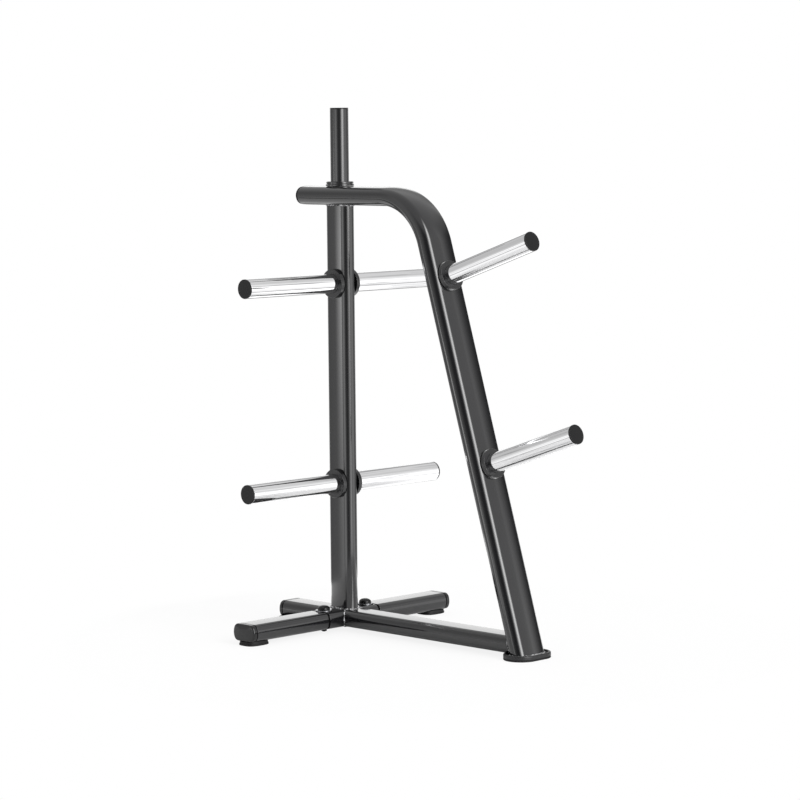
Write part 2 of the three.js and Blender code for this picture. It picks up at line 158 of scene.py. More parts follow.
def loft(rings, closed=False, capped=False):
    # Skins a row of rings. A ring of one point is a pole.
    verts, faces, starts = [], [], []
    for ring in rings:
        starts.append(len(verts))
        verts.extend(np.atleast_2d(ring))
    for k in range(len(rings) if closed else len(rings) - 1):
        after = (k + 1) % len(rings)
        here, there = starts[k], starts[after]
        first, second = len(np.atleast_2d(rings[k])), len(np.atleast_2d(rings[after]))
        sides = max(first, second)
        for i in range(sides):
            j = (i + 1) % sides
            face = [here + i % first, here + j % first, there + j % second, there + i % second]
            face = [v for n, v in enumerate(face) if v not in face[:n]]
            if len(face) > 2:  # nothing lies between two poles
                faces.append(face)
    if capped:
        faces.append(list(range(starts[0], starts[0] + len(rings[0]))))
        faces.append(list(range(starts[-1], starts[-1] + len(rings[-1]))))
    return np.array(verts, float), faces


def levelRing(outline, height):
    return np.column_stack([outline, np.full(len(outline), height)])


def turned(profile, closed=True, sides=128):
    # Turns a profile of [radius, height] round Z. A radius of 0 is a pole.
    angles = np.linspace(0, 2 * math.pi, sides, endpoint=False)
    circle = np.column_stack([np.cos(angles), np.sin(angles)])
    pole = np.zeros((1, 2))
    rings = [levelRing(radius * circle if radius > 0 else pole, height) for radius, height in profile]
    return loft(rings, closed=closed)


def roundTube(inner, outer, low, high, edges, steps=4, sides=128):
    # edges are the fillets of its four corners, from the low inner one outwards and up
    corners = list(zip((inner, outer, outer, inner), (low, low, high, high), edges))
    return turned(rounded(corners, closed=True, steps=steps), sides=sides)


def flatEnd(along):
    return lambda across, up: np.full(len(across), float(along))


def walledTube(tube, place, startAt, endAt, stations, edge=0.5, wall=3):
    # A tube with slightly broken edges. startAt and endAt give its ends round the section, and stations
    # are the places between them that get a ring of points.
    outline = ringSection(tube)
    start, end = startAt(outline[:, 0], outline[:, 1]), endAt(outline[:, 0], outline[:, 1])
    between = [np.full(len(outline), float(station)) for station in stations]
    slope = edge * arcMiddle
    outside = [(edge, start), (slope, start + slope), (0, start + edge), (0, start + 2 * edge)]
    outside += [(0, along) for along in between]
    outside += [(0, end - 2 * edge), (0, end - edge), (slope, end - slope), (edge, end)]
    inside = [(wall, end)] + [(wall, along) for along in reversed(between)] + [(wall, start)]
    rings = []
    for inset, along in outside + inside:
        section = ringSection(tube, inset)
        rings.append(place(section[:, 0], section[:, 1], along))
    return loft(rings, closed=True)


def placed(part, matrix):
    points, faces = part
    turnPart = np.array(matrix.to_3x3())
    return points @ turnPart.T + np.array(matrix.translation), faces


def facing(origin, axisX, axisY, axisZ):
    matrix = Matrix.Identity(4)
    for column, axis in enumerate((axisX, axisY, axisZ, origin)):
        for row in range(3):
            matrix[row][column] = float(axis[row])
    return matrix


def inRow(points):
    return ((points + np.array([rowX, 0, 0])) / metre).tolist()


def smoothOutward(mesh, mergeWithin=None):
    work = bmesh.new()
    work.from_mesh(mesh)
    if mergeWithin:
        bmesh.ops.remove_doubles(work, verts=work.verts, dist=mergeWithin)
    bmesh.ops.recalc_face_normals(work, faces=work.faces)
    work.to_mesh(mesh)
    work.free()
    mesh.shade_smooth()


def addToRow(name, mesh):
    piece = bpy.data.objects.new(name, mesh)
    bpy.context.scene.collection.objects.link(piece)
    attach(piece, "root")
    return piece


finishes = {
    "frame_paint": "coated",
    "black_plastic": "moulded",
    "rubber": "moulded",
    "chrome": "plated",
    "zinc_steel": "plated",
}


def addPiece(node, part, material, slotName, sharpAngle=40):
    # A finer piece in place of a node's solid, named for the node and its finish
    points, faces = part
    name = f"{node}_{finishes[slotName]}"
    mesh = bpy.data.meshes.new(name)
    mesh.from_pydata(inRow(points), [], faces)
    smoothOutward(mesh, mergeWithin=1e-7)
    mesh.set_sharp_from_angle(angle=math.radians(sharpAngle))
    mesh.materials.append(material)
    piece = addToRow(name, mesh)
    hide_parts(node)
    return piece


# Materials. A look's sizes are millimetres across one cell of the noise that draws them, and its relief
# height is in metres.
def linearColour(code):
    # From a screen's code to the linear light that the nodes work with
    parts = [int(code[i : i + 2], 16) / 255 for i in (0, 2, 4)]
    return [p / 12.92 if p <= 0.04045 else ((p + 0.055) / 1.055) ** 2.4 for p in parts] + [1.0]


def addNode(tree, kind, links=(), **settings):
    # One node. Settings go by attribute name, or in "inputs" by an input's name or number, and links are
    # pairs of an input and the socket that feeds it.
    node = tree.nodes.new(kind)
    values = settings.pop("inputs", {})
    for key, value in settings.items():
        setattr(node, key, value)
    for key, value in values.items():
        node.inputs[key].default_value = value
    for key, source in links:
        tree.links.new(source, node.inputs[key])
    return node


def newMaterial(name):
    material = bpy.data.materials.new(name)
    material.use_nodes = True
    material.node_tree.nodes.clear()
    return material, material.node_tree


mixedColour = 2  # the output of a Mix node that holds its colour


def betweenColours(look):
    # For the two colour inputs of a Mix node
    return {6: linearColour(look["colour"]), 7: linearColour(look["otherColour"])}


def fromRange(low, high):
    return {"From Min": low, "From Max": high}


def toRange(start, end):
    return {"To Min": start, "To Max": end}


def finishSurface(tree, look, pattern, texture, settings):
    # The two colours and the roughness follow the pattern, and the relief follows the texture
    value = [("Value", pattern.outputs["Fac"])]
    amount = addNode(tree, "ShaderNodeMapRange", value, inputs=fromRange(*look["patternRange"]))
    share = [(0, amount.outputs[0])]
    colour = addNode(tree, "ShaderNodeMix", share, data_type="RGBA", inputs=betweenColours(look))
    low, high = (look["roughness"] + half * look["roughnessSpread"] for half in (-0.5, 0.5))
    rough = addNode(tree, "ShaderNodeMapRange", value, inputs=toRange(low, high))
    relief = {"Strength": 1, "Distance": look["reliefHeight"]}
    bump = addNode(tree, "ShaderNodeBump", [("Height", texture.outputs["Fac"])], inputs=relief)
    links = [("Base Color", colour.outputs[mixedColour]), ("Roughness", rough.outputs[0])]
    links.append(("Normal", bump.outputs[0]))
    shader = addNode(tree, "ShaderNodeBsdfPrincipled", links, inputs=settings)
    addNode(tree, "ShaderNodeOutputMaterial", [("Surface", shader.outputs[0])])


paintLook = {
    "colour": "121213",
    "otherColour": "171719",
    "roughness": 0.13,
    "roughnessSpread": 0.04,
    "cloudSize": 70,  # paler and darker places
    "patternRange": (0.0, 1.0),
    "ior": 1.5,
    "clearFilm": 0.45,  # the glossy skin that the powder forms as it melts
    "clearFilmRoughness": 0.06,
    "peelSize": 3.2,  # ripples of the orange peel
    "reliefHeight": 0.000004,
}


def makePaint(name, look):
    # Polyester powder coat, baked on steel: a smooth dark film with a faint orange peel
    material, tree = newMaterial(name)
    place = [("Vector", addNode(tree, "ShaderNodeTexCoord").outputs["Object"])]
    large = {"Scale": metre / look["cloudSize"], "Detail": 3}
    small = {"Scale": metre / look["peelSize"], "Detail": 1}
    cloud = addNode(tree, "ShaderNodeTexNoise", place, inputs=large)
    peel = addNode(tree, "ShaderNodeTexNoise", place, inputs=small)
    film = {
        "IOR": look["ior"],
        "Coat Weight": look["clearFilm"],
        "Coat Roughness": look["clearFilmRoughness"],
    }
    finishSurface(tree, look, cloud, peel, film)
    return material


chromeLook = {
    "colour": "e6e6e7",
    "otherColour": "8a8a8c",
    "roughness": 0.05,
    "roughnessSpread": 0.04,
    "lineSize": 3.8,  # the lines that drawing leaves along the tube, much finer on a real one than shows here
    "patternRange": (0.55, 0.76),
    "reliefHeight": 0.000008,
}
zincLook = {
    "colour": "a6a7aa",
    "otherColour": "808184",
    "roughness": 0.24,
    "roughnessSpread": 0.12,
    "lineSize": 6,
    "patternRange": (0.3, 0.7),
    "reliefHeight": 0.000002,
}


def makePlated(name, look, tilt=0.0, stretch=(1, 1, 1)):
    # Metal plate over steel. Stretch and tilt draw the lines out along the tube that carries them.
    material, tree = newMaterial(name)
    place = addNode(tree, "ShaderNodeTexCoord").outputs["Object"]
    tilted = addNode(tree, "ShaderNodeMapping", [("Vector", place)], inputs={"Rotation": (0, tilt, 0)})
    along = addNode(tree, "ShaderNodeMapping", [("Vector", tilted.outputs[0])], inputs={"Scale": stretch})
    noise = {"Scale": metre / look["lineSize"], "Detail": 3, "Roughness": 0.6}
    lines = addNode(tree, "ShaderNodeTexNoise", [("Vector", along.outputs[0])], inputs=noise)
    finishSurface(tree, look, lines, lines, {"Metallic": 1})
    return material


plasticLook = {
    "colour": "09090a",
    "otherColour": "0f0f10",
    "roughness": 0.24,
    "roughnessSpread": 0.1,
    "ior": 1.5,
    "gloss": 0.28,
    "cloudSize": 40,  # paler and darker places
    "patternRange": (0.0, 1.0),
    "grainSize": 1.6,  # the mould's grain, coarser than a real one so that it shows
    "reliefHeight": 0.000005,
}
rubberLook = {
    "colour": "0d0d0e",
    "otherColour": "151516",
    "roughness": 0.62,
    "roughnessSpread": 0.1,
    "ior": 1.52,
    "gloss": 0.3,
    "cloudSize": 40,
    "patternRange": (0.0, 1.0),
    "grainSize": 1.2,
    "reliefHeight": 0.00003,
}


def makeMoulded(name, look):
    # Injection-moulded plastic or rubber: a fine grain from the mould, and a slight unevenness in its sheen
    material, tree = newMaterial(name)
    place = [("Vector", addNode(tree, "ShaderNodeTexCoord").outputs["Object"])]
    large = {"Scale": metre / look["cloudSize"], "Detail": 4}
    small = {"Scale": metre / look["grainSize"], "Detail": 2}
    cloud = addNode(tree, "ShaderNodeTexNoise", place, inputs=large)
    grain = addNode(tree, "ShaderNodeTexNoise", place, inputs=small)
    finishSurface(tree, look, cloud, grain, {"IOR": look["ior"], "Specular IOR Level": look["gloss"]})
    return material


legPeg = {"tilt": math.radians(18.4), "reach": 301, "places": {"upper": 983.95, "lower": 493.95}}
lengthwise = 0.012  # the pattern's scale along a peg, which draws it out into lines

paint = makePaint("charcoal_powder_coat", paintLook)
# Pale grey specks in the base colour of the coated weld beads are painted highlights, standing in for the
# glints on their ripples
weldGlintLook = {
    "colour": "141415",
    # the pale other colour is the painted highlight of the specks
    "otherColour": "d2d2d4",
    "cloudSize": 4,
    "patternRange": (0.47, 0.57),
    "clearFilm": 0.1,
    "roughness": 0.3,
}
# dark coat on the weld beads, with specks of painted highlight
weldGlintPaint = makePaint("powder_coat_on_weld_beads_with_painted_glints", paintLook | weldGlintLook)
collarPaint = makePaint("powder_coat_on_collars", paintLook | {"roughness": 0.27, "clearFilm": 0.15})
# Shoes rub the coat of the foot plates, so it has lost its shine
mattPaint = makePaint("worn_powder_coat_on_foot_plates", paintLook | {"roughness": 0.42, "clearFilm": 0.05})
postChrome = makePlated("polished_chrome_on_post_pegs", chromeLook, stretch=(1, lengthwise, 1))
legChrome = makePlated("polished_chrome_on_leg_pegs", chromeLook, legPeg["tilt"], (lengthwise, 1, 1))
plastic = makeMoulded("moulded_black_polyethylene", plasticLook)
shinyLook = {"colour": "070708", "otherColour": "0b0b0c", "roughness": 0.13, "gloss": 0.5}
shinyLook["reliefHeight"] = 0.000002
shinyPlastic = makeMoulded("polished_black_polyethylene_on_base_caps", plasticLook | shinyLook)
rubber = makeMoulded("moulded_black_rubber", rubberLook)
sealLook = {"colour": "040404", "otherColour": "070707", "gloss": 0.08}
sealRubber = makeMoulded("sunk_black_rubber_seal", rubberLook | sealLook)
zinc = makePlated("bright_zinc_plate", zincLook)
# The fasteners under the tubes have a black passivated zinc, which is dull and nearly as dark as the coat
blackLook = {"colour": "3a3a3c", "otherColour": "2c2c2e", "roughness": 0.4}
blackZinc = makePlated("black_passivated_zinc", zincLook | blackLook)
print("materials made")

# Frame: post, arch and beam
postTube = {"width": 83, "depth": 45, "crown": 190}
baseTube = {"width": 80, "depth": 45, "crown": 1000, "corner": 15, "bulge": 33}
archTube = {"width": 104, "depth": 50, "crown": 210}

base = {
    "middle": 33.5,
    "beamStart": -199.7,
    "beamTail": -216,
    "plateInset": 45,  # from the tail to the middle of the foot plate
    "stubEnd": 89,
    "ring": 6,
    "ringSunk": 1.8,
    "ringEdge": 0.7,
    "ringWall": 1.2,
    "footEnd": 346.7,
    "reach": 363,
}
arch = {
    "middle": 1148,
    "start": -109.7,
    "tail": -116,
    "bendRadius": 165,
    "lean": math.radians(17),
    "footX": 661,
    "cut": 11,
    "bendSteps": 56,
    "levelShares": (0.1, 0.35, 0.7),  # where the level tube and the leg have rings, along their lengths
    "legShares": (0.05, 0.3, 0.6, 0.85),
    "legLength": 1000,  # that the leg's shares are taken of
}
bendAngle = math.pi / 2 - arch["lean"]
bendSetback = arch["bendRadius"] * math.tan(bendAngle / 2)
bendStart = arch["footX"] - arch["middle"] * math.tan(arch["lean"]) - bendSetback
legUp = np.array([-math.sin(arch["lean"]), 0, math.cos(arch["lean"])])
legOut = np.array([math.cos(arch["lean"]), 0, math.sin(arch["lean"])])
archTop = arch["middle"] + archTube["depth"] / 2
levelLength = bendStart - arch["start"]
bendLength = arch["bendRadius"] * bendAngle
bendEndHeight = arch["middle"] - arch["bendRadius"] * (1 - math.cos(bendAngle))


def archPlace(across, out, along):
    # across is Y, out points away from the inside of the bend, along runs from the open end to the floor
    turn = np.clip((along - levelLength) / arch["bendRadius"], 0, bendAngle)
    straight = np.minimum(along, levelLength) - levelLength
    down = np.maximum(along - levelLength - bendLength, 0)
    x = bendStart + straight + arch["bendRadius"] * np.sin(turn) - legUp[0] * down + out * np.sin(turn)
    z = arch["middle"] - arch["bendRadius"] * (1 - np.cos(turn)) - legUp[2] * down + out * np.cos(turn)
    return np.stack([x, across, z], 1)


def legCut(across, out):
    return levelLength + bendLength + (bendEndHeight + out * legOut[2] - arch["cut"]) / legUp[2]


archStations = [levelLength * share for share in arch["levelShares"]]
archStations += [levelLength + bendLength * i / arch["bendSteps"] for i in range(arch["bendSteps"] + 1)]
archStations += [levelLength + bendLength + share * arch["legLength"] for share in arch["legShares"]]
archPart = walledTube(archTube, archPlace, flatEnd(0), legCut, archStations)
archPiece = addPiece("arch_tube", archPart, paint, "frame_paint")
archPiece.visible_glossy = False  # the post and the post's pegs don't mirror it in the photograph


def upright(across, out, along):
    return np.stack([across, out, along], 1)


def postFoot(across, out):
    return base["middle"] + sectionHeight(baseTube, out) + gap


def postHead(across, out):
    return arch["middle"] - sectionHeight(archTube, out) - gap


postStations = [62, 300, 390, 600, 918, 1115]
addPiece("post_tube", walledTube(postTube, upright, postFoot, postHead, postStations), paint, "frame_paint")


def beamPlace(across, up, along):
    return np.stack([along, across, base["middle"] + up], 1)


def beamEnd(across, up):
    height = base["middle"] + up
    reach = (sectionHeight(archTube, across) + gap) / math.cos(arch["lean"])
    return arch["footX"] - height * math.tan(arch["lean"]) - reach


beamStations = [-150, -60, 60, 250, 450, 590]
beamPart = walledTube(baseTube, beamPlace, flatEnd(base["beamStart"]), beamEnd, beamStations)
addPiece("base_beam", beamPart, paint, "frame_paint")
print("frame tubes made")

# Weld beads. Their sizes are in metres, and the ripples are twice as coarse as real ones, which would be
# too fine to show.
beadSizes = {
    "Bead Radius": 0.0023,
    "Ripple Pitch": 0.0045,
    "Ripple Depth": 0.4,  # as a share of the radius
    "Wobble": 0.0014,
    "Seed": 3.0,
}
beadStep = 0.0005  # from one ring of the bead's skin to the next
beadSides = 10
beadNoise = {"Scale": 220, "Detail": 1}  # what the wobble follows


def makeBeadTree():
    tree = bpy.data.node_groups.new("weldBead", "GeometryNodeTree")
    tree.interface.new_socket("Geometry", in_out="INPUT", socket_type="NodeSocketGeometry")
    for name in beadSizes:
        tree.interface.new_socket(name, in_out="INPUT", socket_type="NodeSocketFloat")
    tree.interface.new_socket("Geometry", in_out="OUTPUT", socket_type="NodeSocketGeometry")
    given = addNode(tree, "NodeGroupInput").outputs
    line = addNode(tree, "GeometryNodeMeshToCurve", [("Mesh", given["Geometry"])])
    even = addNode(
        tree,
        "GeometryNodeResampleCurve",
        [("Curve", line.outputs[0])],
        mode="LENGTH",
        inputs={"Length": beadStep},
    )
    # The torch moves on in small steps, and each leaves a ripple
    travelled = addNode(tree, "GeometryNodeSplineParameter").outputs["Length"]
    phase = addNode(tree, "ShaderNodeMath", [(0, travelled), (1, given["Ripple Pitch"])], operation="DIVIDE")
    turn = addNode(tree, "ShaderNodeMath", [(0, phase.outputs[0])], operation="MULTIPLY", inputs={1: math.pi})
    wave = addNode(tree, "ShaderNodeMath", [(0, turn.outputs[0])], operation="SINE")
    ridge = addNode(tree, "ShaderNodeMath", [(0, wave.outputs[0])], operation="ABSOLUTE")
    depth = [(0, ridge.outputs[0]), (1, given["Ripple Depth"])]
    drop = addNode(tree, "ShaderNodeMath", depth, operation="MULTIPLY")
    left = addNode(tree, "ShaderNodeMath", [(1, drop.outputs[0])], operation="SUBTRACT", inputs={0: 1})
    size = [("Curve", even.outputs[0]), ("Radius", left.outputs[0])]
    sized = addNode(tree, "GeometryNodeSetCurveRadius", size)
    radius = [("Radius", given["Bead Radius"])]
    circle = addNode(tree, "GeometryNodeCurvePrimitiveCircle", radius, inputs={"Resolution": beadSides})
    curves = [("Curve", sized.outputs[0]), ("Profile Curve", circle.outputs[0])]
    skin = addNode(tree, "GeometryNodeCurveToMesh", curves)
    if "Scale" in skin.inputs:  # takes the place of the curve's radius where the node has it
        tree.links.new(left.outputs[0], skin.inputs["Scale"])
    place = addNode(tree, "GeometryNodeInputPosition")
    noise = addNode(
        tree,
        "ShaderNodeTexNoise",
        [("Vector", place.outputs[0]), ("W", given["Seed"])],
        noise_dimensions="4D",
        inputs=beadNoise,
    )
    tone = [(0, noise.outputs["Color"])]
    centred = addNode(tree, "ShaderNodeVectorMath", tone, operation="SUBTRACT", inputs={1: (0.5, 0.5, 0.5)})
    sway = [(0, centred.outputs[0]), ("Scale", given["Wobble"])]
    wobble = addNode(tree, "ShaderNodeVectorMath", sway, operation="SCALE")
    shift = [("Geometry", skin.outputs[0]), ("Offset", wobble.outputs[0])]
    moved = addNode(tree, "GeometryNodeSetPosition", shift)
    real = addNode(tree, "GeometryNodeRealizeInstances", [("Geometry", moved.outputs[0])])
    whole = [("Geometry", real.outputs[0])]
    # the beads take the coat with specks of painted highlight
    coated = addNode(tree, "GeometryNodeSetMaterial", whole, inputs={"Material": weldGlintPaint})
    addNode(tree, "NodeGroupOutput", [("Geometry", coated.outputs[0])])
    return tree


beadTree = makeBeadTree()


def addBead(name, loop):
    # loop is the closed line of the joint, in millimetres
    count = len(loop)
    line = bpy.data.meshes.new(name + "_line")
    line.from_pydata(inRow(loop), [(i, (i + 1) % count) for i in range(count)], [])
    carrier = bpy.data.objects.new(name + "_line", line)
    bpy.context.scene.collection.objects.link(carrier)
    modifier = carrier.modifiers.new("bead", "NODES")
    modifier.node_group = beadTree
    for item in beadTree.interface.items_tree:
        if item.in_out == "INPUT" and item.name in beadSizes:
            modifier[item.identifier] = beadSizes[item.name]
    made = carrier.evaluated_get(bpy.context.evaluated_depsgraph_get())
    mesh = bpy.data.meshes.new_from_object(made)
    bpy.data.objects.remove(carrier)
    smoothOutward(mesh)
    mesh.name = name
    addToRow(name, mesh)


beadOut = 0.4  # how far the bead's middle stands outside the tube
beadUp = 0.6  # how far it stands off the piece that the tube is welded to
around = ringSection(postTube, -beadOut)
footLine = base["middle"] + sectionHeight(baseTube, around[:, 1]) + beadUp
addBead("post_foot_weld", np.column_stack([around, footLine]))
headLine = arch["middle"] - sectionHeight(archTube, around[:, 1]) - beadUp
addBead("post_head_weld", np.column_stack([around, headLine]))
across, up = ringSection(baseTube, -beadOut).T
addBead("beam_leg_weld", beamPlace(across, up, beamEnd(across, up) - beadUp))
for side, sign in (("front", -1), ("rear", 1)):
    reach = sectionReach(baseTube, up) + beadUp
    addBead(side + "_stub_weld", np.column_stack([across, sign * reach, base["middle"] + up]))
across, out = ringSection(archTube, -beadOut).T
addBead("leg_foot_weld", archPlace(across, out, legCut(across, out) - beadUp))
print("weld beads made")

# Oval end caps
capSizes = {
    "band": 16,
    "edge": 4.5,
    "dome": 1.4,
    "archBand": 6,
    "archEdge": 1.8,
    "archDome": 0.6,
    "domeSlope": math.radians(7),  # where the edge's curve takes over
    "faceShares": (0.1, 0.25, 0.4, 0.55, 0.7, 0.82, 0.93),
    "edgeSteps": 10,
    "edgeRun": 0.8,
    "seam": 2.4,
    "seamDeep": 2,
    "seamRun": 1,
    "seamLip": 0.4,
    "plug": 22,
    "plugRun": 1,
    "plugTaper": 0.8,
}


def ovalCap(tube, band, edge, dome, wall=3):
    # Built along +Z from its outer face into the tube: a slightly domed face, a band, a seam and a plug
    size = capSizes
    slope = size["domeSlope"]
    face = ringSection(tube, edge * (1 - math.sin(slope)))
    rings = [np.array([[0, 0, 0]])]
    rings += [levelRing(face * share, dome * share**2) for share in size["faceShares"]]
    profile = []
    for k in range(size["edgeSteps"] + 1):
        angle = slope + (math.pi / 2 - slope) * k / size["edgeSteps"]
        profile.append((edge * (1 - math.sin(angle)), dome + edge * (math.cos(slope) - math.cos(angle))))
    seamStart, plugEnd = band - size["seam"], band + size["plug"]
    profile += [(0, edge + dome + size["edgeRun"]), (0, seamStart - size["seamRun"])]
    profile += [(0, seamStart - size["seamLip"]), (size["seamLip"], seamStart)]
    profile += [(size["seamDeep"], seamStart), (size["seamDeep"], band), (wall + gap, band)]
    profile += [(wall + gap, plugEnd - size["plugRun"]), (wall + gap + size["plugTaper"], plugEnd)]
    rings += [levelRing(ringSection(tube, inset), z) for inset, z in profile]
    points, faces = loft(rings)
    faces.append(list(range(len(points) - len(face), len(points))))
    return points, faces


archCap = ovalCap(archTube, capSizes["archBand"], capSizes["archEdge"], capSizes["archDome"])
archCapPlace = facing((arch["tail"], 0, arch["middle"]), (0, 1, 0), (0, 0, 1), (1, 0, 0))
addPiece("arch_end_cap", placed(archCap, archCapPlace), plastic, "black_plastic")
baseCap = ovalCap(baseTube, capSizes["band"], capSizes["edge"], capSizes["dome"])
beamCapPlace = facing((base["beamTail"], 0, base["middle"]), (0, 1, 0), (0, 0, 1), (1, 0, 0))
addPiece("beam_end_cap", placed(baseCap, beamCapPlace), shinyPlastic, "black_plastic")

# Foot plates and mats
plateSizes = {
    "width": 134,
    "depth": 90,
    "flat": 20,  # inset of the innermost ring
    "plateLow": 4.7,
    "plateTop": 10.7,
    "edge": 0.9,
    "rimTop": 15.2,
    "rimWidth": 6.5,
    "rimSlope": 1,
    "rimEdge": 3,
    "rimInnerEdge": 1.6,
    "rimFoot": 1.2,
    "matTop": 4.4,
    "matEdge": 1.4,
    "matTopEdge": 0.8,
}


def stadium(width, depth, inset, steps=48):
    radius, reach = depth / 2 - inset, (width - depth) / 2
    points = []
    for side in (0, math.pi):
        for i in range(steps + 1):
            angle = side - math.pi / 2 + math.pi * i / steps
            points.append((radius * math.sin(angle), reach * math.cos(side) + radius * math.cos(angle)))
    return np.array(points)


def footPlate(profile):
    size = plateSizes
    path = rounded(profile, steps=6)
    rings = [levelRing(stadium(size["width"], size["depth"], inset), z) for inset, z in path]
    return loft(rings, capped=True)


def rimmedPlate(beamSide):
    # The rim dips where the beam crosses it, which is where x is below beamSide
    size = plateSizes
    inner = size["rimWidth"] + size["rimSlope"]
    points, faces = footPlate(
        [
            (size["flat"], size["plateLow"], 0),
            (0, size["plateLow"], size["edge"]),
            (0, size["rimTop"], size["rimEdge"]),
            (size["rimWidth"], size["rimTop"], size["rimInnerEdge"]),
            (inner, size["plateTop"], size["rimFoot"]),
            (size["flat"], size["plateTop"], 0),
        ]
    )
    x, y, z = points.T
    underBeam = base["middle"] - sectionHeight(baseTube, y) - gap
    crossed = (x < beamSide) & (np.abs(y) < baseTube["width"] / 2) & (z > size["plateTop"])
    points[crossed, 2] = np.maximum(np.minimum(z[crossed], underBeam[crossed]), size["plateTop"])
    return points, faces


def footMat():
    size = plateSizes
    return footPlate(
        [
            (size["flat"], 0, 0),
            (0, 0, size["matEdge"]),
            (0, size["matTop"], size["matTopEdge"]),
            (size["flat"], size["matTop"], 0),
        ]
    )


legMiddle = arch["footX"] - arch["cut"] * math.tan(arch["lean"])
beamMiddle = base["beamTail"] + base["plateInset"]
for name, middleX, beamSide in (("leg_foot", legMiddle, 0), ("beam_foot", beamMiddle, math.inf)):
    move = Matrix.Translation((middleX, 0, 0))
    addPiece(name + "_plate", placed(rimmedPlate(beamSide), move), mattPaint, "frame_paint")
    addPiece(name + "_mat", placed(footMat(), move), rubber, "rubber")

# Feet
padSizes = {
    "width": 60,
    "length": 74,
    "squareness": 3,
    "inset": 0.4,
    "flat": 20,  # inset of the innermost ring underneath
    "tread": 2,
    "edge": 1,
    "step": 5,
    "stepCurve": ((0, -0.6), (0.15, -0.15), (0.6, 0)),  # inset and height of the step's rounded edge
    "stepInset": 1.5,
    "stepFoot": 0.3,
    "top": 15,
    "topCurve": ((0, 0.8), (0.25, 0.25), (0.8, 0)),  # inset and drop of the top's rounded edge
    "topShares": (0.93, 0.85, 0.75, 0.6, 0.4, 0.2),
}
boltSizes = {
    "offset": 76,
    "hole": 4.5,
    "washerLow": 56.3,
    "washer": 2.5,
    "washerRadius": 22,
    "washerEdges": (0.3, 0.5, 0.7, 0.3),
    "coverLow": 59.1,
    "cover": 12,
    "coverRadius": 16.5,
    "coverWall": 2.6,
    "coverSide": 3.2,
    "coverShoulder": 1.92,
    "coverRoundness": 0.85,  # 1 is a plain dome, and less has fuller sides
    "coverFoot": (0.5, 0.4),
    "coverSteps": 14,
    "sides": 96,
}


def padOutline(inset, steps=72):
    # Between an oval and a rectangle
    size = padSizes
    halves = np.array([size["width"], size["length"]]) / 2 - inset
    angles = np.linspace(0, 2 * math.pi, steps, endpoint=False)
    circle = np.column_stack([np.cos(angles), np.sin(angles)])
    return halves * np.sign(circle) * np.abs(circle) ** (2 / size["squareness"])


def makePad():
    size = padSizes
    edge, step, stepInset = size["edge"], size["step"], size["stepInset"]
    middle = edge * arcMiddle
    profile = [(size["flat"], 0), (size["tread"], 0), (edge, 0), (middle, middle), (0, edge)]
    profile += [(inset, step + rise) for inset, rise in size["stepCurve"]]
    profile += [(stepInset, step), (stepInset, step + size["stepFoot"])]
    rings = [levelRing(padOutline(inset), z) for inset, z in profile]
    outline = padOutline(stepInset)

    def saddle(points):
        return np.minimum(size["top"], base["middle"] - sectionHeight(baseTube, points[:, 0]) - gap)

    top = saddle(outline)
    for inset, drop in size["topCurve"]:
        ring = padOutline(stepInset + inset)
        rings.append(np.column_stack([ring, np.minimum(top, saddle(ring)) - drop]))
    for share in size["topShares"]:
        ring = outline * share
        rings.append(np.column_stack([ring, saddle(ring)]))
    pole = np.zeros((1, 2))
    rings.append(np.column_stack([pole, saddle(pole)]))
    points, faces = loft(rings)
    faces.append(list(range(len(outline))))
    return points, faces


def boltCover():
    size = boltSizes
    side, wall, radius, top = size["coverSide"], size["coverWall"], size["coverRadius"], size["cover"]
    shoulder, steps = size["coverShoulder"], size["coverSteps"]
    footInset, footRise = size["coverFoot"]
    profile = [(radius - footInset, 0), (radius, footRise), (radius, shoulder)]
    for k in range(1, steps):
        angle = math.pi / 2 * k / steps
        across = radius * math.cos(angle) ** size["coverRoundness"]
        profile.append((across, shoulder + (top - shoulder) * math.sin(angle)))
    profile.append((0, top))
    profile.append((0, top - wall))
    for k in range(steps - 1, -1, -1):
        angle = math.pi / 2 * k / steps
        profile.append(((radius - wall) * math.cos(angle), side + (top - side - wall) * math.sin(angle)))
    profile.append((radius - wall, 0))
    return turned(profile, sides=size["sides"])


def boltWasher():
    size = boltSizes
    low = size["washerLow"]
    top, edges = low + size["washer"], size["washerEdges"]
    return roundTube(size["hole"], size["washerRadius"], low, top, edges, sides=size["sides"])


